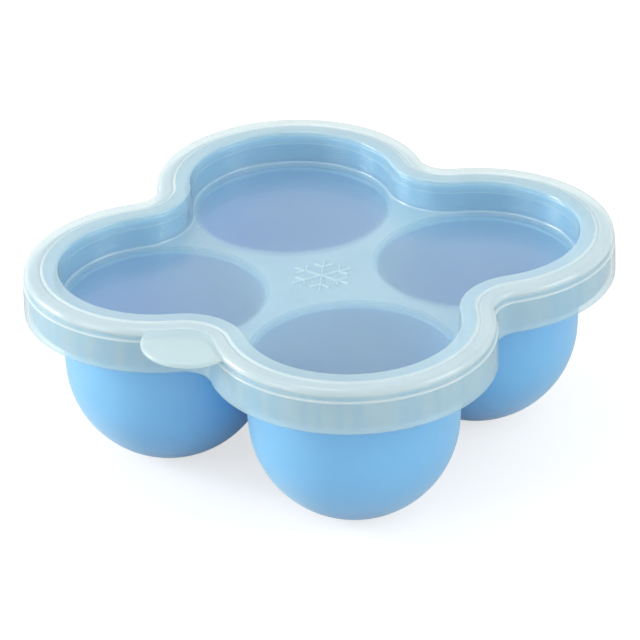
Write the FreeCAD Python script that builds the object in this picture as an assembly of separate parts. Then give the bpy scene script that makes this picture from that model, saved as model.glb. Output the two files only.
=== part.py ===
import FreeCAD, Part
import math
import os

from FreeCAD import Vector

# Millimetres, +Z up. z = 0 is the plane of the four feet. The lid's thumb tab points along -Y.

# Cups of the tray
MOUTH_RADIUS = 28.5
CUP_DEPTH = 45.1
CUP_WALL = 2.4
CUP_DRAFT_DEG = 3.1
CUP_FLOOR_RADIUS = 7.0
CUP_GAP = 2.6
MOUTH_ROUND = 1.0
UNDER_DECK_ROUND = 0.9

# Deck and folded rim of the tray
DECK_THICKNESS = 2.4
MOUTH_LEDGE = 3.1
RIM_WALL = 2.2
GUTTER_WIDTH = 2.45
RIM_HEIGHT = 9.6
LIP_DROP = 1.2
RIM_TOP_ROUND = 1.2
DECK_CORNER_ROUND = 1.0
RIM_FOOT_ROUND = 2.0
GUTTER_ROUND = 0.7
LIP_ROUND = 0.5

# Lid
NOTCH_RADIUS = 8.35
SKIRT_WALL = 1.5
SKIRT_DROP = 1.65
SKIRT_LEAN = 0.15
SKIRT_EDGE_ROUND = 0.45
SKIRT_SHOULDER_DROP = 0.55
SKIRT_SHOULDER_ROUND = 0.35
SIDE_GROOVE_BELOW_TOP = 2.15
SIDE_GROOVE_HEIGHT = 0.85
SIDE_GROOVE_DEPTH = 0.3
SIDE_GROOVE_FLANK = 0.4
SIDE_GROOVE_ROUND = 0.2
BEAD_SETBACK = 0.55
BEAD_FOOT_ROUND = 0.15
CROWN_THICKNESS = 1.9
CROWN_OUTER_ROUND = 1.55
CROWN_INNER_ROUND = 0.7
TOP_GROOVE_OFFSET = 5.1
TOP_GROOVE_HALF = 0.6
TOP_GROOVE_DEPTH = 0.5
TOP_GROOVE_LIP_ROUND = 0.3
TOP_GROOVE_FOOT_ROUND = 0.4
PLUG_WALL = 1.4
PLUG_DRAFT = 0.4
PLUG_FOOT_ROUND = 1.5
RECESS_CORNER_ROUND = 0.5
CHANNEL_ROUND = 0.8
FLOOR_THICKNESS = 1.4

# Thumb tab of the lid
TAB_RADIUS = 13.9
TAB_CENTRE_PAST_NOTCH = 3.15
TAB_THICKNESS = 2.3
TAB_TOP_BELOW_CROWN = 0.15
TAB_DOME = 0.5
TAB_WALL_OVERLAP = 0.4
TAB_CROWN_OVERLAP = 0.6

# Raised snowflake in the middle of the lid
FLAKE_ARM = 9.5
FLAKE_BAR = 0.9
FLAKE_HEIGHT = 0.4
FLAKE_BARB = 3.3
FLAKE_BARB_AT = 0.58

# Clearances between lid and tray
SIDE_CLEARANCE = 0.3
SEAT_GAP = 0.1
FLOOR_GAP = 0.1

# Heights that follow
DECK_TOP = CUP_WALL + CUP_DEPTH
DECK_BOTTOM = DECK_TOP - DECK_THICKNESS
RIM_TOP = DECK_TOP + RIM_HEIGHT
LIP_BOTTOM = DECK_TOP - LIP_DROP
SKIRT_BOTTOM = DECK_TOP - SKIRT_DROP
CHANNEL_TOP = RIM_TOP + SEAT_GAP
LID_TOP = CHANNEL_TOP + CROWN_THICKNESS
FLOOR_BOTTOM = DECK_TOP + FLOOR_GAP
FLOOR_TOP = FLOOR_BOTTOM + FLOOR_THICKNESS

# The plan is a four-leaf outline. Each leaf is an arc about a cup's centre, and a notch arc joins
# two leaves. An offset is measured inwards from the lid's outer skirt.
LEAF_CENTRE = MOUTH_RADIUS + CUP_WALL + CUP_GAP / 2
RIM_INNER_RADIUS = MOUTH_RADIUS + MOUTH_LEDGE
LIP_OUTER_RADIUS = RIM_INNER_RADIUS + PLUG_DRAFT + 2 * RIM_WALL + GUTTER_WIDTH
LEAF_RADIUS = LIP_OUTER_RADIUS + SIDE_CLEARANCE + SKIRT_WALL
NOTCH_RISE = math.sqrt((LEAF_RADIUS + NOTCH_RADIUS) ** 2 - LEAF_CENTRE ** 2)
NOTCH_CENTRE = LEAF_CENTRE + NOTCH_RISE
JOIN_ANGLE = math.degrees(math.atan2(NOTCH_RISE, LEAF_CENTRE))

# Offsets that follow
LIP_OUTER = SKIRT_WALL + SIDE_CLEARANCE
GUTTER_OUTER = LIP_OUTER + RIM_WALL
GUTTER_INNER = GUTTER_OUTER + GUTTER_WIDTH
RIM_INNER_TOP = GUTTER_INNER + RIM_WALL
RIM_INNER_FOOT = RIM_INNER_TOP + PLUG_DRAFT
PLUG_OUTER_TOP = RIM_INNER_TOP + SIDE_CLEARANCE
PLUG_OUTER_FOOT = RIM_INNER_FOOT + SIDE_CLEARANCE
RECESS_TOP = PLUG_OUTER_TOP + PLUG_WALL
RECESS_FOOT = PLUG_OUTER_FOOT + PLUG_WALL
DECK_SEAM = RIM_INNER_FOOT + DECK_CORNER_ROUND
FLOOR_SEAM = RECESS_FOOT + 2 * RECESS_CORNER_ROUND

TAB_CENTRE = NOTCH_CENTRE - NOTCH_RADIUS + TAB_CENTRE_PAST_NOTCH
BACK_REACH = LEAF_CENTRE + LEAF_RADIUS
FRONT_REACH = max(TAB_CENTRE + TAB_RADIUS, BACK_REACH)

# The frame's origin is below the middle of the whole outline, tab included.
FRAME_SHIFT = Vector(0, (FRONT_REACH - BACK_REACH) / 2, 0)


def rounded_face(corners, place):
    """Face inside straight runs whose corners (u, v, radius) are rounded, put in space by place."""
    arcs = []
    for i, (u, v, radius) in enumerate(corners):
        here = Vector(u, v, 0)
        before = (Vector(*corners[i - 1][:2], 0) - here).normalize()
        after = (Vector(*corners[(i + 1) % len(corners)][:2], 0) - here).normalize()
        half = before.getAngle(after) / 2
        reach = radius / math.tan(half)
        middle = (before + after).normalize()
        nearest = here + middle * (radius / math.sin(half) - radius)
        arcs.append([place(p) for p in (here + before * reach, nearest, here + after * reach)])
    edges = []
    for i, (start, middle, end) in enumerate(arcs):
        if start.distanceToPoint(end) > 1e-6:
            edges.append(Part.Arc(start, middle, end).toShape())
        following = arcs[(i + 1) % len(arcs)][0]
        if end.distanceToPoint(following) > 1e-6:
            edges.append(Part.LineSegment(end, following).toShape())
    return Part.Face(Part.Wire(edges))


def swept_section(corners):
    """Solid ring: a section of (offset, z, radius) corners carried round the four-leaf outline."""
    pieces = []
    for quarter in range(4):
        turn = 90.0 * quarter
        leaf = rotated(Vector(LEAF_CENTRE, LEAF_CENTRE, 0), turn)
        notch = rotated(Vector(0, NOTCH_CENTRE, 0), turn)
        leaf_start = turn + JOIN_ANGLE - 90.0
        notch_start = turn - 180.0 + JOIN_ANGLE
        pieces.append(turned(corners, leaf, leaf_start, 270.0 - 2 * JOIN_ANGLE, LEAF_RADIUS, -1))
        pieces.append(turned(corners, notch, notch_start, 180.0 - 2 * JOIN_ANGLE, NOTCH_RADIUS, 1))
    return pieces[0].multiFuse(pieces[1:]).removeSplitter()


def turned(corners, centre, start, span, radius, side):
    """One arc of the ring, turned about the upright axis at centre."""
    out = rotated(Vector(1, 0, 0), start)
    face = rounded_face(corners, lambda p: centre + out * (radius + side * p.x) + Vector(0, 0, p.y))
    return face.revolve(centre, Vector(0, 0, 1), span)


def rotated(point, degrees):
    """The point turned about the Z axis."""
    return FreeCAD.Rotation(Vector(0, 0, 1), degrees).multVec(point)


def leaf_plate(offset, low, high):
    """Flat plate with the four-leaf outline at an offset, from low to high."""
    edges = []
    for quarter in range(4):
        turn = 90.0 * quarter
        leaf = rotated(Vector(LEAF_CENTRE, LEAF_CENTRE, low), turn)
        notch = rotated(Vector(0, NOTCH_CENTRE, low), turn)
        middle = turn + 45.0
        reach = 135.0 - JOIN_ANGLE
        radius = LEAF_RADIUS - offset
        edges.append(arc_edge(leaf, radius, middle - reach, middle, middle + reach))
        reach = 90.0 - JOIN_ANGLE
        middle = turn - 90.0
        edges.append(arc_edge(notch, NOTCH_RADIUS + offset, middle + reach, middle, middle - reach))
    return Part.Face(Part.Wire(edges)).extrude(Vector(0, 0, high - low))


def arc_edge(centre, radius, start, middle, end):
    """Arc about centre through three directions in degrees."""
    points = [centre + rotated(Vector(radius, 0, 0), angle) for angle in (start, middle, end)]
    return Part.Arc(*points).toShape()


def cup_centres():
    """Centres of the four cups at z = 0."""
    return [rotated(Vector(LEAF_CENTRE, LEAF_CENTRE, 0), 90.0 * quarter) for quarter in range(4)]


def bowl_form(wall):
    """Radius and centre height of the cup's round end, and its flat's radius, wall outside the cavity."""
    draft = math.radians(CUP_DRAFT_DEG)
    side = MOUTH_RADIUS * math.cos(draft)
    lean = math.sin(draft)
    a = 1 - lean ** 2
    b = 2 * side * lean - 2 * CUP_DEPTH
    c = CUP_DEPTH ** 2 - side ** 2 + CUP_FLOOR_RADIUS ** 2
    drop = (-b - math.sqrt(b ** 2 - 4 * a * c)) / (2 * a)
    radius = side - drop * lean + wall
    below = CUP_DEPTH - drop + wall
    flat = math.sqrt(radius ** 2 - below ** 2)
    return radius, DECK_TOP - drop, flat


def cup_solid(wall, low, high, flare):
    """Body of revolution of the cup's form, wall outside the cavity, widening by flare at its top."""
    draft = math.radians(CUP_DRAFT_DEG)
    radius, centre, flat = bowl_form(wall)
    tangent = Vector(radius * math.cos(draft), 0, centre - radius * math.sin(draft))
    flat_angle = math.asin(flat / radius)
    middle_angle = (flat_angle + math.pi / 2 - draft) / 2
    middle = Vector(radius * math.sin(middle_angle), 0, centre - radius * math.cos(middle_angle))
    flat_edge = Vector(flat, 0, low)
    # The wall meets the flare's quarter turn, which ends level at its top.
    bend = flare * (1 - math.sin(draft)) / math.cos(draft)
    edge_x = tangent.x + (high - tangent.z) * math.tan(draft)
    foot = Vector(edge_x - bend * math.sin(draft), 0, high - bend * math.cos(draft))
    top = Vector(edge_x + bend, 0, high)
    swing = Vector(top.x, 0, high - flare)
    towards = Vector(-math.cos((math.pi / 2 - draft) / 2 + draft), 0,
                     math.sin((math.pi / 2 - draft) / 2 + draft))
    half_way = swing + towards * flare
    above = Vector(0, 0, high)
    edges = [
        Part.LineSegment(Vector(0, 0, low), flat_edge).toShape(),
        Part.Arc(flat_edge, middle, tangent).toShape(),
        Part.LineSegment(tangent, foot).toShape(),
        Part.Arc(foot, half_way, top).toShape(),
        Part.LineSegment(top, above).toShape(),
        Part.LineSegment(above, Vector(0, 0, low)).toShape(),
    ]
    return Part.Face(Part.Wire(edges)).revolve(Vector(0, 0, 0), Vector(0, 0, 1), 360.0)


def make_tray():
    """Soft tray: deck, four cups and a rim folded over into a lip."""
    rim = swept_section([
        (LIP_OUTER, LIP_BOTTOM, LIP_ROUND),
        (LIP_OUTER, RIM_TOP, RIM_TOP_ROUND),
        (RIM_INNER_TOP, RIM_TOP, RIM_TOP_ROUND),
        (RIM_INNER_FOOT, DECK_TOP, DECK_CORNER_ROUND),
        (DECK_SEAM, DECK_TOP, 0),
        (DECK_SEAM, DECK_BOTTOM, 0),
        (GUTTER_INNER, DECK_BOTTOM, RIM_FOOT_ROUND),
        (GUTTER_INNER, RIM_TOP - RIM_WALL, GUTTER_ROUND),
        (GUTTER_OUTER, RIM_TOP - RIM_WALL, GUTTER_ROUND),
        (GUTTER_OUTER, LIP_BOTTOM, LIP_ROUND),
    ])
    deck = leaf_plate(DECK_SEAM, DECK_BOTTOM, DECK_TOP)
    outer = cup_solid(CUP_WALL, 0, DECK_BOTTOM, UNDER_DECK_ROUND)
    cavity = cup_solid(0, CUP_WALL, DECK_TOP, MOUTH_ROUND)
    tray = rim.multiFuse([deck] + [moved(outer, centre) for centre in cup_centres()])
    tray = tray.cut([moved(cavity, centre) for centre in cup_centres()])
    return tray.removeSplitter()


def moved(shape, by):
    """Copy of a shape moved by a vector."""
    return shape.translated(by)


def make_lid():
    """Translucent lid: skirt, hollow crown over the tray's rim, sunk floor, thumb tab and snowflake."""
    groove_high = LID_TOP - SIDE_GROOVE_BELOW_TOP
    groove_low = groove_high - SIDE_GROOVE_HEIGHT
    groove_offset = BEAD_SETBACK + SIDE_GROOVE_DEPTH
    ring = swept_section([
        (0, SKIRT_BOTTOM, SKIRT_EDGE_ROUND),
        (SKIRT_LEAN, groove_low - SKIRT_SHOULDER_DROP, SKIRT_SHOULDER_ROUND),
        (groove_offset, groove_low, SIDE_GROOVE_ROUND),
        (groove_offset, groove_high, SIDE_GROOVE_ROUND),
        (BEAD_SETBACK, groove_high + SIDE_GROOVE_FLANK, BEAD_FOOT_ROUND),
        (BEAD_SETBACK, LID_TOP, CROWN_OUTER_ROUND),
        (TOP_GROOVE_OFFSET - TOP_GROOVE_HALF, LID_TOP, TOP_GROOVE_LIP_ROUND),
        (TOP_GROOVE_OFFSET, LID_TOP - TOP_GROOVE_DEPTH, TOP_GROOVE_FOOT_ROUND),
        (TOP_GROOVE_OFFSET + TOP_GROOVE_HALF, LID_TOP, TOP_GROOVE_LIP_ROUND),
        (RECESS_TOP, LID_TOP, CROWN_INNER_ROUND),
        (RECESS_FOOT, FLOOR_TOP, RECESS_CORNER_ROUND),
        (FLOOR_SEAM, FLOOR_TOP, 0),
        (FLOOR_SEAM, FLOOR_BOTTOM, 0),
        (PLUG_OUTER_FOOT, FLOOR_BOTTOM, PLUG_FOOT_ROUND),
        (PLUG_OUTER_TOP, CHANNEL_TOP, CHANNEL_ROUND),
        (SKIRT_WALL, CHANNEL_TOP, CHANNEL_ROUND),
        (SKIRT_WALL, SKIRT_BOTTOM, SKIRT_EDGE_ROUND),
    ])
    floor = leaf_plate(FLOOR_SEAM, FLOOR_BOTTOM, FLOOR_TOP)
    return ring.multiFuse([floor, thumb_tab()] + snowflake_bars()).removeSplitter()


def thumb_tab():
    """Domed round tab that fills the front notch, grows out of the crown's bead and reaches past it."""
    top = LID_TOP - TAB_TOP_BELOW_CROWN
    rim = top - TAB_DOME
    bottom = top - TAB_THICKNESS
    half = (rim - bottom) / 2
    inner = TAB_RADIUS - half
    dome = Part.Arc(Vector(0, 0, top), Vector(inner / 2, 0, top - TAB_DOME / 4),
                    Vector(inner, 0, rim)).toShape()
    nose = Part.Arc(Vector(inner, 0, rim), Vector(TAB_RADIUS, 0, rim - half),
                    Vector(inner, 0, bottom)).toShape()
    under = Part.LineSegment(Vector(inner, 0, bottom), Vector(0, 0, bottom)).toShape()
    axis = Part.LineSegment(Vector(0, 0, bottom), Vector(0, 0, top)).toShape()
    disc = Part.Face(Part.Wire([dome, nose, under, axis])).revolve(Vector(0, 0, 0), Vector(0, 0, 1), 360.0)
    disc = moved(disc, Vector(0, -TAB_CENTRE, 0))
    # The tab ends inside the skirt's wall below and inside the solid crown above, clear of the channel.
    shelf = CHANNEL_TOP + TAB_CROWN_OVERLAP
    channel = leaf_plate(SKIRT_WALL - TAB_WALL_OVERLAP, SKIRT_BOTTOM, shelf)
    crown = leaf_plate(BEAD_SETBACK + CROWN_OUTER_ROUND, shelf, LID_TOP)
    return disc.cut([channel, crown])


def snowflake_bars():
    """Six arms with two barbs each, standing a little above the lid's floor."""
    bars = []
    for arm in range(6):
        turn = 60.0 * arm
        bars.append(bar(FLAKE_ARM, Vector(0, 0, 0), turn))
        fork = rotated(Vector(FLAKE_ARM * FLAKE_BARB_AT, 0, 0), turn)
        for side in (-1, 1):
            bars.append(bar(FLAKE_BARB, fork, turn + 60.0 * side))
    return bars


def bar(length, start, degrees):
    """Straight flat bar from start in a direction, sunk a little into the floor."""
    sunk = FLAKE_HEIGHT
    box = Part.makeBox(length, FLAKE_BAR, FLAKE_HEIGHT + sunk, Vector(0, -FLAKE_BAR / 2, 0))
    box.rotate(Vector(0, 0, 0), Vector(0, 0, 1), degrees)
    return box.translated(start + Vector(0, 0, FLOOR_TOP - sunk))


os.makedirs("parts", exist_ok=True)
for name, shape in (("tray", make_tray()), ("lid", make_lid())):
    solid = moved(shape, FRAME_SHIFT).Solids[0]
    print(name, "solids", len(shape.Solids), "valid", solid.isValid(), "cm3", round(solid.Volume / 1000, 2),
          "box", [round(v, 2) for v in (solid.BoundBox.XMin, solid.BoundBox.XMax, solid.BoundBox.YMin,
                                        solid.BoundBox.YMax, solid.BoundBox.ZMin, solid.BoundBox.ZMax)])
    solid.exportStep("parts/" + name + ".step")
print("leaf centre", round(LEAF_CENTRE, 3), "leaf radius", round(LEAF_RADIUS, 3),
      "frame shift", round(FRAME_SHIFT.y, 3))
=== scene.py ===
import math

import bmesh
import bpy
import numpy as np
from mathutils import Matrix, Vector
from mathutils.geometry import delaunay_2d_cdt


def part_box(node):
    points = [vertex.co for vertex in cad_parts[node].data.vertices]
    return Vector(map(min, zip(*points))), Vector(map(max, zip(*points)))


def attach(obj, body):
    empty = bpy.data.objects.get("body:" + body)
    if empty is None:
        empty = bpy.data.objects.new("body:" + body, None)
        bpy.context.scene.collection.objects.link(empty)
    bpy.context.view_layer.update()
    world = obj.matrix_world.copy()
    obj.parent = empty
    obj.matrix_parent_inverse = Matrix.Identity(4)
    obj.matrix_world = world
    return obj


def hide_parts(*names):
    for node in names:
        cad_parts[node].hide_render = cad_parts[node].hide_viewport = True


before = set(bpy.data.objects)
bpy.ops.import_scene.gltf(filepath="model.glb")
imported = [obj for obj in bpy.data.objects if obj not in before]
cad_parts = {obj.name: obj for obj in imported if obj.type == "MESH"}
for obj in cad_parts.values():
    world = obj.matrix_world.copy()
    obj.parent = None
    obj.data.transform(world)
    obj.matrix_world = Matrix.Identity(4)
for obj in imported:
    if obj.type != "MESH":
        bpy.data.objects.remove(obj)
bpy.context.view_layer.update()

MM = 0.001

# Cups of the tray
MOUTH_RADIUS = 28.5 * MM
CUP_DEPTH = 45.1 * MM
CUP_WALL = 2.4 * MM
CUP_DRAFT = math.radians(3.1)
CUP_FLOOR_RADIUS = 7.0 * MM
CUP_GAP = 2.6 * MM
MOUTH_ROUND = 1.0 * MM
UNDER_DECK_ROUND = 0.9 * MM
FOOT_EASE = 4.0 * MM

# Deck and folded rim of the tray
DECK_THICKNESS = 2.4 * MM
MOUTH_LEDGE = 3.1 * MM
RIM_WALL = 2.2 * MM
GUTTER_WIDTH = 2.45 * MM
RIM_HEIGHT = 9.6 * MM
LIP_DROP = 1.2 * MM
RIM_TOP_ROUND = 1.2 * MM
DECK_CORNER_ROUND = 1.0 * MM
RIM_FOOT_ROUND = 2.0 * MM
GUTTER_ROUND = 0.7 * MM
LIP_ROUND = 0.5 * MM

# Lid
NOTCH_RADIUS = 8.35 * MM
SKIRT_WALL = 1.5 * MM
SKIRT_DROP = 1.65 * MM
SKIRT_LEAN = 0.15 * MM
SKIRT_EDGE_ROUND = 0.45 * MM
SKIRT_SHOULDER_DROP = 0.55 * MM
SKIRT_SHOULDER_ROUND = 0.35 * MM
SIDE_GROOVE_BELOW_TOP = 2.15 * MM
SIDE_GROOVE_HEIGHT = 0.85 * MM
SIDE_GROOVE_DEPTH = 0.3 * MM
SIDE_GROOVE_FLANK = 0.4 * MM
SIDE_GROOVE_ROUND = 0.2 * MM
BEAD_SETBACK = 0.55 * MM
BEAD_FOOT_ROUND = 0.15 * MM
CROWN_THICKNESS = 1.9 * MM
CROWN_OUTER_ROUND = 1.55 * MM
CROWN_INNER_ROUND = 0.7 * MM
TOP_GROOVE_OFFSET = 5.1 * MM
TOP_GROOVE_HALF = 0.6 * MM
TOP_GROOVE_DEPTH = 0.5 * MM
TOP_GROOVE_LIP_ROUND = 0.3 * MM
TOP_GROOVE_FOOT_ROUND = 0.4 * MM
PLUG_WALL = 1.4 * MM
PLUG_DRAFT = 0.4 * MM
PLUG_FOOT_ROUND = 1.5 * MM
RECESS_CORNER_ROUND = 0.5 * MM
CHANNEL_ROUND = 0.8 * MM
FLOOR_THICKNESS = 1.4 * MM

# Thumb tab of the lid
TAB_RADIUS = 13.9 * MM
TAB_CENTRE_PAST_NOTCH = 3.15 * MM
TAB_THICKNESS = 2.3 * MM
TAB_TOP_BELOW_CROWN = 0.15 * MM
TAB_DOME = 0.5 * MM
TAB_WALL_OVERLAP = 0.4 * MM
TAB_CROWN_OVERLAP = 0.6 * MM

# Raised snowflake in the middle of the lid
FLAKE_ARM = 9.5 * MM
FLAKE_BAR = 0.9 * MM
FLAKE_HEIGHT = 0.4 * MM
FLAKE_BARB = 3.3 * MM
FLAKE_BARB_AT = 0.58
FLAKE_SLOPE = 0.22 * MM

# Clearances between lid and tray
SIDE_CLEARANCE = 0.3 * MM
SEAT_GAP = 0.1 * MM
FLOOR_GAP = 0.1 * MM

# Heights that follow
DECK_TOP = CUP_WALL + CUP_DEPTH
DECK_BOTTOM = DECK_TOP - DECK_THICKNESS
RIM_TOP = DECK_TOP + RIM_HEIGHT
LIP_BOTTOM = DECK_TOP - LIP_DROP
SKIRT_BOTTOM = DECK_TOP - SKIRT_DROP
CHANNEL_TOP = RIM_TOP + SEAT_GAP
LID_TOP = CHANNEL_TOP + CROWN_THICKNESS
FLOOR_BOTTOM = DECK_TOP + FLOOR_GAP
FLOOR_TOP = FLOOR_BOTTOM + FLOOR_THICKNESS

# The four-leaf outline. An offset is measured inwards from the lid's outer skirt.
LEAF_CENTRE = MOUTH_RADIUS + CUP_WALL + CUP_GAP / 2
RIM_INNER_RADIUS = MOUTH_RADIUS + MOUTH_LEDGE
LIP_OUTER_RADIUS = RIM_INNER_RADIUS + PLUG_DRAFT + 2 * RIM_WALL + GUTTER_WIDTH
LEAF_RADIUS = LIP_OUTER_RADIUS + SIDE_CLEARANCE + SKIRT_WALL
NOTCH_RISE = math.sqrt((LEAF_RADIUS + NOTCH_RADIUS) ** 2 - LEAF_CENTRE ** 2)
NOTCH_CENTRE = LEAF_CENTRE + NOTCH_RISE
JOIN_ANGLE = math.atan2(NOTCH_RISE, LEAF_CENTRE)

# Offsets that follow
LIP_OUTER = SKIRT_WALL + SIDE_CLEARANCE
GUTTER_OUTER = LIP_OUTER + RIM_WALL
GUTTER_INNER = GUTTER_OUTER + GUTTER_WIDTH
RIM_INNER_TOP = GUTTER_INNER + RIM_WALL
RIM_INNER_FOOT = RIM_INNER_TOP + PLUG_DRAFT
PLUG_OUTER_TOP = RIM_INNER_TOP + SIDE_CLEARANCE
PLUG_OUTER_FOOT = RIM_INNER_FOOT + SIDE_CLEARANCE
RECESS_TOP = PLUG_OUTER_TOP + PLUG_WALL
RECESS_FOOT = PLUG_OUTER_FOOT + PLUG_WALL

# Support points stand this far past a round. A seam is where the look or the kind of mesh changes.
SUPPORT = 0.12 * MM
DECK_SEAM = RIM_INNER_FOOT + DECK_CORNER_ROUND + SUPPORT
UNDER_SEAM = GUTTER_INNER + RIM_FOOT_ROUND + SUPPORT
FLOOR_SEAM = RECESS_FOOT + 2 * RECESS_CORNER_ROUND
LEDGE_SEAM = TOP_GROOVE_OFFSET + 2 * TOP_GROOVE_HALF

# The tab's centre, measured forwards from the tray's middle
TAB_CENTRE = NOTCH_CENTRE - NOTCH_RADIUS + TAB_CENTRE_PAST_NOTCH

# How much of the light each surface of the lid stops and scatters. A wall has two surfaces.
MILK_CROWN = 0.60
MILK_LEDGE = 0.48
# MILK_BAND also sets the strength of the painted highlight line on the recess's wall
MILK_BAND = 0.30
MILK_TAB = 0.52
MILK_SKIRT = 0.40
# Painted highlight: extra milk along the skirt's lower edge, so that it reads as a light line
MILK_EDGE_HIGHLIGHT = 0.46
# Painted highlight: milk that makes thin, nearly white lines on the crown groove's inner slope and
# the skirt's shoulder
MILK_PAINTED_HIGHLIGHT = 0.85
MILK_PLUG = 0.12
# Painted light and shade: the floor is milkier and so lighter over the deck, and clearer over the
# cups so that they show darker
MILK_OVER_DECK_PAINTED_LIGHT = 0.44
MILK_FLAKE = 0.54
MILK_OVER_CUPS_PAINTED_SHADE = 0.20

# Where that changes: round each cup's axis, from the painted shade over the cup to the painted
# light over the deck, and below the lid's top on the recess's wall, across a painted highlight
# line
PAINTED_SHADE_DISC_INNER = 27.9 * MM
PAINTED_SHADE_DISC_OUTER = 30.1 * MM
BAND_BELOW_TOP = 3.9 * MM
BAND_SOFTNESS = 0.5 * MM

# The tray's middle lies back from the frame's origin, because the tab counts in the frame's box.
TRAY_LOW, TRAY_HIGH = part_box("tray")
MIDDLE = Vector((0, (TRAY_LOW.y + TRAY_HIGH.y) / 2, 0))

# Fineness of the meshes
LEAF_STEPS = 84
NOTCH_STEPS = 34
ARC_STEPS = 7
CUP_STEPS = 112
BOWL_STEPS = 30
FOOT_EASE_STEPS = 4
CUP_WALL_SHARES = (0.25, 0.5, 0.75, 0.97)
TAB_STEPS = 144
TAB_DOME_STEPS = 12
TAB_DOME_SHARES = (0.1, 0.99)
TAB_EDGE_STEPS = 15
SHARP_ANGLE = math.radians(32)

# Tolerances in metres
WELD_WITHIN = 0.002 * MM
SLIVER_WITHIN = 0.001 * MM
FILL_WITHIN = 1e-9
PAST_OUTLINE = 0.01 * MM
ON_DOME_WITHIN = 0.03 * MM

# Kind of fill that makes triangles only within its loops, and the share of a round hole's radius
# within which it leaves them out
FILL_INSIDE = 1
HOLE_SHARE = 0.999

# Cloudiness and grain. A grain is its noise's scale, and its depth and strength as a bump.
TONE_STOPS = (0.32, 0.68)
CLOUD_DETAIL = 3
GRAIN_DETAIL = 2
SILICONE_CLOUD_SCALE = 38
SILICONE_GRAIN = (2600, 0.02 * MM, 0.12)
LID_CLOUD_SCALE = 55
LID_GRAIN = (1900, 0.015 * MM, 0.1)

# Blue silicone
SILICONE_DEEP = (0.072, 0.455, 0.825)
SILICONE_PALE = (0.087, 0.475, 0.845)
SILICONE_ROUGHNESS = (0.44, 0.54)
SILICONE_IOR = 1.8
SILICONE_GLOSS_TINT = (1, 0.93, 0.82, 1)
SILICONE_SHEEN = 0.42
SILICONE_SHEEN_ROUGHNESS = 0.6
SILICONE_SCATTER = 0.6
SILICONE_SCATTER_RADIUS = (0.2, 0.55, 1)
SILICONE_SCATTER_DEPTH = 7 * MM

# Translucent plastic
THIN_DEEP = (0.58, 0.81, 0.86)
THIN_PALE = (0.62, 0.84, 0.88)
THICK_DEEP = (0.73, 0.84, 0.84)
THICK_PALE = (0.77, 0.87, 0.86)
LID_CLOUDINESS = (0.94, 1.06)
LID_THROUGH = 0.3
LID_GLOSS = 0.055
LID_GLOSS_ROUGHNESS = 0.17
GLANCING_POWER = 5

# Camera, fitted to the photograph's lines
CAMERA_AZIMUTH = math.radians(34.88)
CAMERA_ELEVATION = math.radians(28.76)
CAMERA_ROLL = math.radians(-1.7)
CAMERA_DISTANCE = 1.0524
CAMERA_RIGHT = -0.81 * MM
CAMERA_UP = -9.6 * MM
CAMERA_LENS = 204.8
CAMERA_SENSOR = 36.0
CAMERA_CLIP_START = 0.05
CAMERA_CLIP_END = 20
AIM_BELOW_DECK = 2.0 * MM

# Soft lights: name, place in metres, size in metres and power in watts
LIGHTS = (
    ("left", (-0.90, -0.42, 0.34), 0.34, 7.0),
    ("front", (-0.36, -0.95, 0.40), 0.45, 2.0),
    ("right", (0.80, 0.20, 0.34), 0.45, 2.7),
    ("top", (-0.22, 0.12, 0.92), 0.2, 0.9),
)
WORLD_LEVEL = 0.87

# Floor: its size, its colour to the light, and its colour and glow to the camera
FLOOR_SIZE = 6
FLOOR_COLOUR = (0.56, 0.56, 0.56, 1)
FLOOR_SEEN_COLOUR = (0.42, 0.42, 0.42, 1)
FLOOR_SEEN_GLOW = 0.66


def outline():
    """Points of the lid's outer outline and their inward directions, once round."""
    points, inward = [], []

    def arc(centre, radius, start, end, steps, side):
        for angle in np.linspace(start, end, steps, endpoint=False):
            out = np.array([math.cos(angle), math.sin(angle)])
            points.append(centre + out * radius)
            inward.append(out * side)

    for quarter in range(4):
        turn = quarter * math.pi / 2
        middle = turn + math.pi / 4
        reach = math.radians(135) - JOIN_ANGLE
        leaf = np.array([math.cos(middle), math.sin(middle)]) * LEAF_CENTRE * math.sqrt(2)
        arc(leaf, LEAF_RADIUS, middle - reach, middle + reach, LEAF_STEPS, -1)
        toward = turn + math.pi / 2
        notch = np.array([math.cos(toward), math.sin(toward)]) * NOTCH_CENTRE
        reach = math.pi / 2 - JOIN_ANGLE
        back = toward + math.pi
        arc(notch, NOTCH_RADIUS, back + reach, back - reach, NOTCH_STEPS, 1)
    return np.array(points), np.array(inward)


OUTLINE, INWARD = outline()


def rounded(corners):
    """Open line through (u, v, radius) corners, with an arc and two support points at a radius."""
    line = []
    for i, (u, v, radius) in enumerate(corners):
        here = np.array([u, v])
        if radius == 0:
            line.append(here)
            continue
        before = np.array(corners[i - 1][:2]) - here
        after = np.array(corners[i + 1][:2]) - here
        before_length = np.linalg.norm(before)
        after_length = np.linalg.norm(after)
        before = before / before_length
        after = after / after_length
        half = math.acos(np.clip(before @ after, -1, 1)) / 2
        reach = radius / math.tan(half)
        middle = (before + after) / np.linalg.norm(before + after)
        centre = here + middle * radius / math.sin(half)
        start = here + before * reach - centre
        end = here + after * reach - centre
        angle = math.atan2(start[1], start[0])
        swing = math.atan2(start[0] * end[1] - start[1] * end[0], start @ end)
        steps = max(2, round(ARC_STEPS * abs(swing) / (math.pi / 2)) + 1)
        line.append(here + before * min(reach + SUPPORT, (reach + before_length) / 2))
        for share in np.linspace(0, 1, steps + 1):
            at = angle + swing * share
            line.append(centre + radius * np.array([math.cos(at), math.sin(at)]))
        line.append(here + after * min(reach + SUPPORT, (reach + after_length) / 2))
    return np.array(line)


def ring(profile):
    """Vertices and faces of a profile of (offset, z) carried round the outline."""
    verts = []
    for point, inward in zip(OUTLINE, INWARD):
        for offset, z in profile:
            x, y = point + inward * offset
            verts.append((x, y, z))
    return verts, grid_faces(len(OUTLINE), len(profile))


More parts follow.
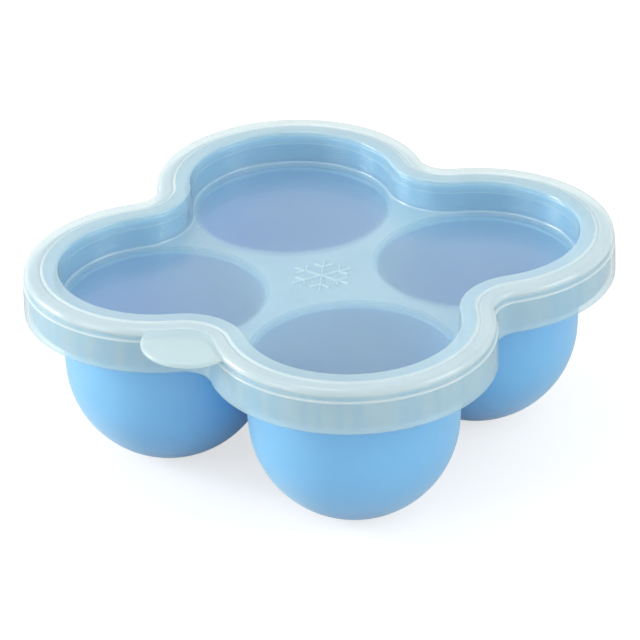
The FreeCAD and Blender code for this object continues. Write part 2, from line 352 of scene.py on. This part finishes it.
def lathe(profile, centre, steps):
    """Vertices and faces of a profile of (radius, z) turned about an upright axis."""
    verts = []
    for angle in np.linspace(0, 2 * math.pi, steps, endpoint=False):
        for radius, z in profile:
            verts.append((centre[0] + radius * math.cos(angle),
                          centre[1] + radius * math.sin(angle), z))
    return verts, grid_faces(steps, len(profile))


def grid_faces(rows, columns):
    """Quads of a grid of vertices laid out row by row, where the last row meets the first."""
    faces = []
    for i in range(rows):
        here, following = i * columns, (i + 1) % rows * columns
        for j in range(columns - 1):
            faces.append((here + j, following + j, following + j + 1, here + j + 1))
    return faces


def joined(loops):
    """Points and edges of closed loops, where None stands for a point that is left out."""
    points, edges = [], []
    for loop in loops:
        made = []
        for point in loop:
            made.append(None if point is None else len(points))
            if point is not None:
                points.append(Vector(point))
        for here, following in zip(made, made[1:] + made[:1]):
            if here is not None and following is not None:
                edges.append((here, following))
    return points, edges


def flat_fill(loops, z, holes=()):
    """Triangles within closed loops of plan points at one height, but not in the round holes."""
    points, edges = joined(loops)
    made = delaunay_2d_cdt(points, edges, [], FILL_INSIDE, FILL_WITHIN)
    verts, faces = made[0], []
    for face in made[2]:
        middle = sum((verts[i] for i in face), Vector((0, 0))) / len(face)
        if all((middle - Vector(centre)).length > radius for centre, radius in holes):
            faces.append(tuple(face))
    return [(v.x, v.y, z) for v in verts], faces


def build(name, parts):
    """One closed mesh object from lists of vertices and faces, moved to the object's middle."""
    mesh = bpy.data.meshes.new(name)
    bm = bmesh.new()
    for verts, faces in parts:
        made = [bm.verts.new(Vector(v) + MIDDLE) for v in verts]
        for face in faces:
            bm.faces.new([made[i] for i in face])
    bmesh.ops.remove_doubles(bm, verts=bm.verts, dist=WELD_WITHIN)
    bmesh.ops.dissolve_degenerate(bm, edges=bm.edges, dist=SLIVER_WITHIN)
    bmesh.ops.recalc_face_normals(bm, faces=bm.faces)
    bm.to_mesh(mesh)
    bm.free()
    mesh.shade_smooth()
    piece = bpy.data.objects.new(name, mesh)
    bpy.context.scene.collection.objects.link(piece)
    return piece


def cup_centres():
    """Centres of the four cups in plan, from the tray's middle."""
    return [(sx * LEAF_CENTRE, sy * LEAF_CENTRE) for sx in (-1, 1) for sy in (-1, 1)]


def bowl_profile(wall, low, high, flare):
    """Cup section from its axis at the bottom to its flare, at a wall outside the cavity."""
    # The bowl is part of a sphere through the edge of the cavity's floor, and the leaning side
    # touches it. Its centre lies a drop below the deck, which solves a quadratic.
    side = MOUTH_RADIUS * math.cos(CUP_DRAFT)
    lean = math.sin(CUP_DRAFT)
    a = 1 - lean ** 2
    b = 2 * side * lean - 2 * CUP_DEPTH
    c = CUP_DEPTH ** 2 - side ** 2 + CUP_FLOOR_RADIUS ** 2
    drop = (-b - math.sqrt(b ** 2 - 4 * a * c)) / (2 * a)
    radius = side - drop * lean + wall
    centre = DECK_TOP - drop
    flat = math.sqrt(radius ** 2 - (CUP_DEPTH - drop + wall) ** 2)
    edge_angle = math.asin(flat / radius)
    soften = FOOT_EASE * math.tan(edge_angle / 2)
    start = edge_angle + soften / radius
    line = [(0, low), (flat / 2, low), (flat - soften, low)]
    # The foot's edge is eased by an arc that leaves the flat and meets the bowl.
    for share in np.linspace(0, 1, FOOT_EASE_STEPS + 2)[1:-1]:
        angle = edge_angle * share
        line.append((flat - soften + FOOT_EASE * math.sin(angle),
                     low + FOOT_EASE * (1 - math.cos(angle))))
    for angle in np.linspace(start, math.pi / 2 - CUP_DRAFT, BOWL_STEPS):
        line.append((radius * math.sin(angle), centre - radius * math.cos(angle)))
    tangent = line[-1]
    bend = flare * (1 - math.sin(CUP_DRAFT)) / math.cos(CUP_DRAFT)
    edge = tangent[0] + (high - tangent[1]) * math.tan(CUP_DRAFT)
    foot = (edge - bend * math.sin(CUP_DRAFT), high - bend * math.cos(CUP_DRAFT))
    for share in CUP_WALL_SHARES:
        line.append(tuple(np.array(tangent) + (np.array(foot) - np.array(tangent)) * share))
    swing = (edge + bend, high - flare)
    for angle in np.linspace(math.pi - CUP_DRAFT, math.pi / 2, ARC_STEPS + 2):
        line.append((swing[0] + flare * math.cos(angle), swing[1] + flare * math.sin(angle)))
    line.append((line[-1][0] + SUPPORT, high))
    return line


def circle(centre, radius):
    """Plan points of a cup's circle, at the same angles as its lathe."""
    return [(centre[0] + radius * math.cos(t), centre[1] + radius * math.sin(t))
            for t in np.linspace(0, 2 * math.pi, CUP_STEPS, endpoint=False)]


def make_tray():
    """Soft tray: deck, four cups and the folded rim, as one closed surface."""
    profile = rounded([
        (DECK_SEAM, DECK_TOP, 0),
        (RIM_INNER_FOOT, DECK_TOP, DECK_CORNER_ROUND),
        (RIM_INNER_TOP, RIM_TOP, RIM_TOP_ROUND),
        (LIP_OUTER, RIM_TOP, RIM_TOP_ROUND),
        (LIP_OUTER, LIP_BOTTOM, LIP_ROUND),
        (GUTTER_OUTER, LIP_BOTTOM, LIP_ROUND),
        (GUTTER_OUTER, RIM_TOP - RIM_WALL, GUTTER_ROUND),
        (GUTTER_INNER, RIM_TOP - RIM_WALL, GUTTER_ROUND),
        (GUTTER_INNER, DECK_BOTTOM, RIM_FOOT_ROUND),
        (UNDER_SEAM, DECK_BOTTOM, 0),
    ])
    outer = bowl_profile(CUP_WALL, 0, DECK_BOTTOM, UNDER_DECK_ROUND)
    inner = bowl_profile(0, CUP_WALL, DECK_TOP, MOUTH_ROUND)
    parts = [ring(profile)]
    for centre in cup_centres():
        parts.append(lathe(outer, centre, CUP_STEPS))
        parts.append(lathe(inner, centre, CUP_STEPS))
    for line, z, seam in ((inner, DECK_TOP, DECK_SEAM), (outer, DECK_BOTTOM, UNDER_SEAM)):
        hole = line[-1][0]
        loops = [OUTLINE + INWARD * seam] + [circle(centre, hole) for centre in cup_centres()]
        holes = [(centre, hole * HOLE_SHARE) for centre in cup_centres()]
        parts.append(flat_fill(loops, z, holes))
    return build("tray_body", parts)


def make_lid_shell():
    """Lid without its tab, as one closed surface."""
    groove_high = LID_TOP - SIDE_GROOVE_BELOW_TOP
    groove_low = groove_high - SIDE_GROOVE_HEIGHT
    groove_offset = BEAD_SETBACK + SIDE_GROOVE_DEPTH
    profile = rounded([
        (FLOOR_SEAM, FLOOR_TOP, 0),
        (RECESS_FOOT, FLOOR_TOP, RECESS_CORNER_ROUND),
        *band_corners(),
        (RECESS_TOP, LID_TOP, CROWN_INNER_ROUND),
        (LEDGE_SEAM, LID_TOP, 0),
        (TOP_GROOVE_OFFSET + TOP_GROOVE_HALF, LID_TOP, TOP_GROOVE_LIP_ROUND),
        (TOP_GROOVE_OFFSET, LID_TOP - TOP_GROOVE_DEPTH, TOP_GROOVE_FOOT_ROUND),
        (TOP_GROOVE_OFFSET - TOP_GROOVE_HALF, LID_TOP, TOP_GROOVE_LIP_ROUND),
        (BEAD_SETBACK, LID_TOP, CROWN_OUTER_ROUND),
        (BEAD_SETBACK, groove_high + SIDE_GROOVE_FLANK, BEAD_FOOT_ROUND),
        (groove_offset, groove_high, SIDE_GROOVE_ROUND),
        (groove_offset, groove_low, SIDE_GROOVE_ROUND),
        (SKIRT_LEAN, groove_low - SKIRT_SHOULDER_DROP, SKIRT_SHOULDER_ROUND),
        (0, SKIRT_BOTTOM, SKIRT_EDGE_ROUND),
        (SKIRT_WALL, SKIRT_BOTTOM, SKIRT_EDGE_ROUND),
        (SKIRT_WALL, CHANNEL_TOP, CHANNEL_ROUND),
        (PLUG_OUTER_TOP, CHANNEL_TOP, CHANNEL_ROUND),
        (PLUG_OUTER_FOOT, FLOOR_BOTTOM, PLUG_FOOT_ROUND),
        (FLOOR_SEAM, FLOOR_BOTTOM, 0),
    ])
    return build("lid_body", [ring(profile), floor_top(), floor_bottom()])


def band_corners():
    """Points up the recess's wall, where its look changes from clear to milky across a painted
    highlight line.
    """
    corners = []
    for step in (-1, 0, 1):
        z = LID_TOP - BAND_BELOW_TOP + step * BAND_SOFTNESS
        offset = float(np.interp(z, (FLOOR_TOP, LID_TOP), (RECESS_FOOT, RECESS_TOP)))
        corners.append((offset, z, 0))
    return corners


def painted_shade_disc_loops():
    """Two circles over each cup, where the lid's look changes from painted shade over the cup to
    painted light over the deck, as far as they lie in the floor.
    """
    loops = []
    for centre in cup_centres():
        for radius in (PAINTED_SHADE_DISC_INNER, PAINTED_SHADE_DISC_OUTER):
            loops.append([point if inward_offset(*point) > FLOOR_SEAM + SUPPORT else None
                          for point in circle(centre, radius)])
    return loops


def floor_bottom():
    """Flat underside of the lid's floor."""
    return flat_fill([OUTLINE + INWARD * FLOOR_SEAM] + painted_shade_disc_loops(), FLOOR_BOTTOM)


def floor_top():
    """Top of the lid's floor, with the snowflake raised out of it on sloped flanks."""
    points, edges = joined([OUTLINE + INWARD * FLOOR_SEAM] + painted_shade_disc_loops())
    faces = []
    for inset in (0, FLAKE_SLOPE):
        for corners in snowflake_bars(inset):
            first = len(points)
            points.extend(Vector(p) for p in corners)
            faces.append([first + i for i in range(4)])
    made = delaunay_2d_cdt(points, edges, faces, FILL_INSIDE, FILL_WITHIN)
    raised = set()
    first_inset = len(faces) // 2
    for face, sources in zip(made[2], made[5]):
        if any(source >= first_inset for source in sources):
            raised.update(face)
    verts = []
    for i, v in enumerate(made[0]):
        verts.append((v.x, v.y, FLOOR_TOP + (FLAKE_HEIGHT if i in raised else 0)))
    return verts, [tuple(face) for face in made[2]]


def snowflake_bars(inset):
    """Plan corners of the snowflake's bars, drawn in by an inset on every side."""
    bars = []
    for arm in range(6):
        turn = arm * math.pi / 3
        fork = (FLAKE_ARM * FLAKE_BARB_AT * math.cos(turn),
                FLAKE_ARM * FLAKE_BARB_AT * math.sin(turn))
        bars.append(bar(FLAKE_ARM, (0, 0), turn, inset))
        for side in (-1, 1):
            bars.append(bar(FLAKE_BARB, fork, turn + side * math.pi / 3, inset))
    return bars


def bar(length, start, angle, inset):
    """Plan corners of one straight bar."""
    half = FLAKE_BAR / 2 - inset
    corners = []
    for u, v in ((0, -half), (length - inset, -half), (length - inset, half), (0, half)):
        corners.append((start[0] + u * math.cos(angle) - v * math.sin(angle),
                        start[1] + u * math.sin(angle) + v * math.cos(angle)))
    return corners


def tab_heights():
    """Top of the tab's dome, its rim, its underside and the radius where its nose starts."""
    top = LID_TOP - TAB_TOP_BELOW_CROWN
    rim = top - TAB_DOME
    bottom = top - TAB_THICKNESS
    return top, rim, bottom, TAB_RADIUS - (rim - bottom) / 2


def make_tab():
    """Thumb tab as a closed disc with a domed top and a rounded edge, cut off inside the crown."""
    top, rim, bottom, inner = tab_heights()
    half = (rim - bottom) / 2
    line = [(0, top)]
    for share in np.linspace(*TAB_DOME_SHARES, TAB_DOME_STEPS):
        line.append((inner * share, top - TAB_DOME * share ** 2))
    for angle in np.linspace(math.pi / 2, -math.pi / 2, TAB_EDGE_STEPS):
        line.append((inner + half * math.cos(angle), rim - half + half * math.sin(angle)))
    line.append((inner - SUPPORT, bottom))
    line.append((0, bottom))
    tab = build("tab", [lathe(line, (0, -TAB_CENTRE), TAB_STEPS)])
    shelf = CHANNEL_TOP + TAB_CROWN_OVERLAP
    cut(tab, outline_block(SKIRT_WALL - TAB_WALL_OVERLAP, SKIRT_BOTTOM, shelf))
    cut(tab, outline_block(BEAD_SETBACK + CROWN_OUTER_ROUND, shelf - SUPPORT, LID_TOP))
    return tab


def outline_block(offset, low, high):
    """Block in the four-leaf outline at an offset, to cut the tab with."""
    edge = OUTLINE + INWARD * offset
    sides = [(p[0], p[1], z) for p in edge for z in (low, high)]
    faces = grid_faces(len(edge), 2)
    return build("cutter", [(sides, faces), flat_fill([edge], low), flat_fill([edge], high)])


def combine(piece, other, operation):
    """Joins another closed piece to this one, or cuts it out, and removes it."""
    modifier = piece.modifiers.new("combine", "BOOLEAN")
    modifier.operation = operation
    modifier.solver = "MANIFOLD"
    modifier.object = other
    graph = bpy.context.evaluated_depsgraph_get()
    mesh = bpy.data.meshes.new_from_object(piece.evaluated_get(graph))
    piece.modifiers.clear()
    old = piece.data
    piece.data = mesh
    mesh.name = old.name
    bpy.data.meshes.remove(old)
    bpy.data.objects.remove(other)


def cut(piece, other):
    """Cuts another closed piece out of this one."""
    combine(piece, other, "DIFFERENCE")


def inward_offset(x, y):
    """Distance inwards from the lid's outer outline, near that outline."""
    x, y = abs(x), abs(y)
    if y < x:
        x, y = y, x
    from_notch = math.hypot(x, y - NOTCH_CENTRE)
    toward = math.atan2(x, NOTCH_CENTRE - y)
    if abs(toward) < math.pi / 2 - JOIN_ANGLE:
        return from_notch - NOTCH_RADIUS
    return LEAF_RADIUS - math.hypot(x - LEAF_CENTRE, y - LEAF_CENTRE)


def ease(value, low, high):
    """Smooth step from 0 at low to 1 at high."""
    share = min(max((value - low) / (high - low), 0), 1)
    return share * share * (3 - 2 * share)


def milk_at(x, y, z):
    """Share of light that the lid's surface stops at a point of the lid's shell, with painted
    highlight lines and the floor's painted light and shade in it.
    """
    offset = inward_offset(x, y)
    # The sunk floor: clearer over the cups, a painted shade that lets their dark insides show,
    # milkier over the deck, a painted light, and milkier on the snowflake.
    if z < FLOOR_TOP + FLAKE_HEIGHT + SUPPORT and offset > PLUG_OUTER_TOP:
        if z > FLOOR_TOP + FLAKE_HEIGHT / 2 and offset > FLOOR_SEAM:
            return MILK_FLAKE
        from_cup = math.hypot(abs(x) - LEAF_CENTRE, abs(y) - LEAF_CENTRE)
        return MILK_OVER_CUPS_PAINTED_SHADE + (MILK_OVER_DECK_PAINTED_LIGHT - MILK_OVER_CUPS_PAINTED_SHADE) * ease(from_cup, PAINTED_SHADE_DISC_INNER, PAINTED_SHADE_DISC_OUTER)
    # The wall round the recess: clear below and milkier above, with a paler line between, a
    # painted highlight of the tray rim's rounded top seen through the wall.
    if offset > PLUG_OUTER_TOP - SIDE_CLEARANCE:
        band = LID_TOP - BAND_BELOW_TOP
        above = ease(z, band - BAND_SOFTNESS, band + BAND_SOFTNESS)
        milk = MILK_PLUG + (MILK_BAND - MILK_PLUG) * above
        milk += (MILK_BAND - MILK_PLUG) * (1 - ease(abs(z - band), 0, BAND_SOFTNESS))
        return milk + (MILK_LEDGE - MILK_BAND) * ease(z, LID_TOP - CROWN_INNER_ROUND, LID_TOP)
    # The crown: milky outside its groove, less so inside, and palest on the groove's inner slope,
    # a painted highlight line.
    if offset > SKIRT_WALL:
        milk = MILK_CROWN + (MILK_LEDGE - MILK_CROWN) * ease(offset, TOP_GROOVE_OFFSET, LEDGE_SEAM)
        slope = abs(offset - TOP_GROOVE_OFFSET - TOP_GROOVE_HALF * 2 / 3)
        return milk + (MILK_PAINTED_HIGHLIGHT - milk) * (1 - ease(slope, TOP_GROOVE_HALF / 3, TOP_GROOVE_HALF))
    # The skirt: milkier towards the crown, and milkier at its lower edge and palest on its
    # shoulder, both painted highlight lines.
    groove = LID_TOP - SIDE_GROOVE_BELOW_TOP - SIDE_GROOVE_HEIGHT
    shoulder = groove - SKIRT_SHOULDER_DROP
    milk = MILK_SKIRT + (MILK_CROWN - MILK_SKIRT) * ease(z, groove, LID_TOP - CROWN_OUTER_ROUND)
    edge = ease(z, SKIRT_BOTTOM, SKIRT_BOTTOM + 2 * SKIRT_EDGE_ROUND)
    milk += (MILK_EDGE_HIGHLIGHT - MILK_SKIRT) * (1 - edge)
    if offset < SKIRT_WALL / 2 + SIDE_GROOVE_DEPTH:
        slope = ease(z, shoulder - SKIRT_SHOULDER_ROUND, shoulder) - ease(z, shoulder, groove)
        milk += (MILK_PAINTED_HIGHLIGHT - milk) * slope
    return milk


def paint_milk(lid):
    """Stores how milky the lid is at each face corner, painted highlights and painted light and
    shade included.
    """
    top, _, bottom, inner = tab_heights()
    mesh = lid.data
    places = np.empty(len(mesh.vertices) * 3)
    mesh.vertices.foreach_get("co", places)
    places = places.reshape(-1, 3) - np.array(MIDDLE)
    milk = [milk_at(*place) for place in places]
    values = np.empty(len(mesh.loops))
    for face in mesh.polygons:
        x, y, z = face.center - MIDDLE
        out = math.hypot(x, y + TAB_CENTRE)
        on_dome = abs(z - (top - TAB_DOME * (out / inner) ** 2)) < ON_DOME_WITHIN
        in_tab = out < TAB_RADIUS and z > bottom - SUPPORT
        offset = inward_offset(x, y)
        is_tab = in_tab and (offset < -PAST_OUTLINE or (on_dome and offset < SKIRT_WALL))
        for loop in face.loop_indices:
            values[loop] = MILK_TAB if is_tab else milk[mesh.loops[loop].vertex_index]
    layer = mesh.attributes.new("milk", "FLOAT", "CORNER")
    layer.data.foreach_set("value", values)


def make_lid():
    """Translucent lid with its tab joined on."""
    lid = make_lid_shell()
    combine(lid, make_tab(), "UNION")
    lid.data.shade_smooth()
    lid.data.set_sharp_from_angle(angle=SHARP_ANGLE)
    paint_milk(lid)
    return lid


def shader_nodes(name):
    """New material with an empty node tree, and its output."""
    material = bpy.data.materials.new(name)
    material.use_nodes = True
    material.node_tree.nodes.clear()
    output = material.node_tree.nodes.new("ShaderNodeOutputMaterial")
    return material, material.node_tree, output


def noise(tree, scale, detail):
    """Noise in the object's own space."""
    coords = tree.nodes.new("ShaderNodeTexCoord")
    node = tree.nodes.new("ShaderNodeTexNoise")
    node.inputs["Scale"].default_value = scale
    node.inputs["Detail"].default_value = detail
    tree.links.new(coords.outputs["Object"], node.inputs["Vector"])
    return node.outputs["Fac"]


def span(tree, source, low, high):
    """Source of 0 to 1, carried to a span."""
    node = tree.nodes.new("ShaderNodeMapRange")
    node.inputs["To Min"].default_value = low
    node.inputs["To Max"].default_value = high
    tree.links.new(source, node.inputs["Value"])
    return node.outputs["Result"]


def two_tones(tree, source, first, second):
    """Colour that drifts between two tones."""
    ramp = tree.nodes.new("ShaderNodeValToRGB")
    for element, position, colour in zip(ramp.color_ramp.elements, TONE_STOPS, (first, second)):
        element.position = position
        element.color = colour + (1,)
    tree.links.new(source, ramp.inputs["Fac"])
    return ramp.outputs["Color"]


def grain(tree, scale, depth, strength):
    """Fine bump of a moulded surface."""
    bump = tree.nodes.new("ShaderNodeBump")
    bump.inputs["Strength"].default_value = strength
    bump.inputs["Distance"].default_value = depth
    tree.links.new(noise(tree, scale, GRAIN_DETAIL), bump.inputs["Height"])
    return bump.outputs["Normal"]


def silicone_material():
    """Satin blue silicone with a fine grain, a slight cloudiness and a pale bloom at its edges."""
    material, tree, output = shader_nodes("tray_silicone")
    link = tree.links.new
    principled = tree.nodes.new("ShaderNodeBsdfPrincipled")
    cloud = noise(tree, SILICONE_CLOUD_SCALE, CLOUD_DETAIL)
    link(two_tones(tree, cloud, SILICONE_DEEP, SILICONE_PALE), principled.inputs["Base Color"])
    link(span(tree, cloud, *SILICONE_ROUGHNESS), principled.inputs["Roughness"])
    link(grain(tree, *SILICONE_GRAIN), principled.inputs["Normal"])
    for socket, value in (
        ("IOR", SILICONE_IOR),
        ("Specular IOR Level", 1),
        ("Specular Tint", SILICONE_GLOSS_TINT),
        ("Subsurface Weight", SILICONE_SCATTER),
        ("Subsurface Radius", SILICONE_SCATTER_RADIUS),
        ("Subsurface Scale", SILICONE_SCATTER_DEPTH),
        ("Sheen Weight", SILICONE_SHEEN),
        ("Sheen Roughness", SILICONE_SHEEN_ROUGHNESS),
        ("Sheen Tint", SILICONE_GLOSS_TINT),
    ):
        principled.inputs[socket].default_value = value
    link(principled.outputs["BSDF"], output.inputs["Surface"])
    return material


def lid_material():
    """Frosted translucent lid: milky as far as painted, with painted highlights and painted light
    and shade in that milk, else see-through, and glossy over both.
    """
    material, tree, output = shader_nodes("lid_translucent")
    new, link = tree.nodes.new, tree.links.new
    cloud = noise(tree, LID_CLOUD_SCALE, CLOUD_DETAIL)
    normal = grain(tree, *LID_GRAIN)
    stored = new("ShaderNodeAttribute")
    stored.attribute_name = "milk"
    # Milkier plastic scatters whiter, so the painted highlight lines come out nearly white.
    thickness = new("ShaderNodeMapRange")
    thickness.inputs["From Min"].default_value = MILK_SKIRT
    thickness.inputs["From Max"].default_value = MILK_CROWN
    link(stored.outputs["Fac"], thickness.inputs["Value"])
    blend = new("ShaderNodeMix")
    blend.data_type = "RGBA"
    link(thickness.outputs["Result"], blend.inputs["Factor"])
    link(two_tones(tree, cloud, THIN_DEEP, THIN_PALE), blend.inputs["A"])
    link(two_tones(tree, cloud, THICK_DEEP, THICK_PALE), blend.inputs["B"])
    tint = blend.outputs["Result"]
    milk = new("ShaderNodeBsdfDiffuse")
    through = new("ShaderNodeBsdfTranslucent")
    scatter = new("ShaderNodeMixShader")
    scatter.inputs["Fac"].default_value = LID_THROUGH
    for shader, socket in ((milk, 1), (through, 2)):
        link(tint, shader.inputs["Color"])
        link(normal, shader.inputs["Normal"])
        link(shader.outputs["BSDF"], scatter.inputs[socket])
    vary = new("ShaderNodeMath")
    vary.operation = "MULTIPLY"
    link(stored.outputs["Fac"], vary.inputs[0])
    link(span(tree, cloud, *LID_CLOUDINESS), vary.inputs[1])
    clear = new("ShaderNodeBsdfTransparent")
    body = new("ShaderNodeMixShader")
    link(vary.outputs["Value"], body.inputs["Fac"])
    link(clear.outputs["BSDF"], body.inputs[1])
    link(scatter.outputs["Shader"], body.inputs[2])
    gloss = new("ShaderNodeBsdfGlossy")
    gloss.inputs["Roughness"].default_value = LID_GLOSS_ROUGHNESS
    link(normal, gloss.inputs["Normal"])
    # Both sides of a surface reflect alike, more at a glancing angle.
    facing = new("ShaderNodeLayerWeight")
    glancing = new("ShaderNodeMath")
    glancing.operation = "POWER"
    glancing.inputs[1].default_value = GLANCING_POWER
    link(facing.outputs["Facing"], glancing.inputs[0])
    whole = new("ShaderNodeMixShader")
    link(span(tree, glancing.outputs["Value"], LID_GLOSS, 1), whole.inputs["Fac"])
    link(body.outputs["Shader"], whole.inputs[1])
    link(gloss.outputs["BSDF"], whole.inputs[2])
    link(whole.outputs["Shader"], output.inputs["Surface"])
    return material


def make_camera():
    """Camera at the photograph's viewing angle."""
    az, el, roll = CAMERA_AZIMUTH, CAMERA_ELEVATION, CAMERA_ROLL
    back = Vector((math.sin(az) * math.cos(el), -math.cos(az) * math.cos(el), math.sin(el)))
    right = Vector((math.cos(az), math.sin(az), 0))
    up = back.cross(right)
    aim = MIDDLE + Vector((0, 0, DECK_TOP - AIM_BELOW_DECK))
    place = aim + back * CAMERA_DISTANCE + right * CAMERA_RIGHT + up * CAMERA_UP
    rolled_right = right * math.cos(roll) + up * math.sin(roll)
    rolled_up = up * math.cos(roll) - right * math.sin(roll)
    data = bpy.data.cameras.new("camera")
    data.sensor_width = CAMERA_SENSOR
    data.lens = CAMERA_LENS
    data.clip_start = CAMERA_CLIP_START
    data.clip_end = CAMERA_CLIP_END
    camera = bpy.data.objects.new("camera", data)
    turn = Matrix((rolled_right, rolled_up, back)).transposed().to_4x4()
    camera.matrix_world = Matrix.Translation(place) @ turn
    bpy.context.scene.collection.objects.link(camera)
    bpy.context.scene.camera = camera


def area_light(name, place, aim, size, power):
    """Square soft light, white."""
    data = bpy.data.lights.new(name, "AREA")
    data.shape = "SQUARE"
    data.size = size
    data.energy = power
    light = bpy.data.objects.new(name, data)
    light.location = place
    light.rotation_mode = "QUATERNION"
    light.rotation_quaternion = (Vector(aim) - Vector(place)).to_track_quat("-Z", "Y")
    bpy.context.scene.collection.objects.link(light)


def floor_material():
    """Pale floor that reads white to the camera and keeps the object's soft shadow."""
    material, tree, output = shader_nodes("floor")
    new, link = tree.nodes.new, tree.links.new
    path = new("ShaderNodeLightPath")
    shade = new("ShaderNodeMix")
    shade.data_type = "RGBA"
    shade.inputs["A"].default_value = FLOOR_COLOUR
    shade.inputs["B"].default_value = FLOOR_SEEN_COLOUR
    link(path.outputs["Is Camera Ray"], shade.inputs["Factor"])
    diffuse = new("ShaderNodeBsdfDiffuse")
    link(shade.outputs["Result"], diffuse.inputs["Color"])
    glow = new("ShaderNodeEmission")
    link(span(tree, path.outputs["Is Camera Ray"], 0, FLOOR_SEEN_GLOW), glow.inputs["Strength"])
    both = new("ShaderNodeAddShader")
    link(diffuse.outputs["BSDF"], both.inputs[0])
    link(glow.outputs["Emission"], both.inputs[1])
    link(both.outputs["Shader"], output.inputs["Surface"])
    return material


def make_world():
    """White surroundings, at a lower level where they light the object."""
    world = bpy.data.worlds.new("world")
    bpy.context.scene.world = world
    world.use_nodes = True
    tree = world.node_tree
    tree.nodes.clear()
    new, link = tree.nodes.new, tree.links.new
    output = new("ShaderNodeOutputWorld")
    path = new("ShaderNodeLightPath")
    seen = path.outputs["Is Camera Ray"]
    for ray in ("Is Glossy Ray", "Is Transmission Ray"):
        either = new("ShaderNodeMath")
        either.operation = "MAXIMUM"
        link(seen, either.inputs[0])
        link(path.outputs[ray], either.inputs[1])
        seen = either.outputs["Value"]
    sky = new("ShaderNodeBackground")
    sky.inputs["Color"].default_value = (1, 1, 1, 1)
    link(span(tree, seen, WORLD_LEVEL, 1), sky.inputs["Strength"])
    link(sky.outputs["Background"], output.inputs["Surface"])


def make_stage():
    """Pale floor, white surroundings and soft studio lights."""
    bpy.ops.mesh.primitive_plane_add(size=FLOOR_SIZE, location=(0, 0, 0))
    floor = bpy.context.object
    floor.name = "floor"
    floor.data.materials.append(floor_material())
    make_world()
    for name, place, size, power in LIGHTS:
        area_light(name, place, (0, 0, DECK_TOP / 2), size, power)


def finish_piece(piece, body, node, material):
    """Gives a piece its material and tells the frame what it stands for."""
    piece.data.materials.clear()
    piece.data.materials.append(material)
    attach(piece, body)
    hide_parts(node)


finish_piece(make_tray(), "tray_body", "tray", silicone_material())
finish_piece(make_lid(), "lid_body", "lid", lid_material())
make_camera()
make_stage()
bpy.context.scene.view_settings.view_transform = "Standard"
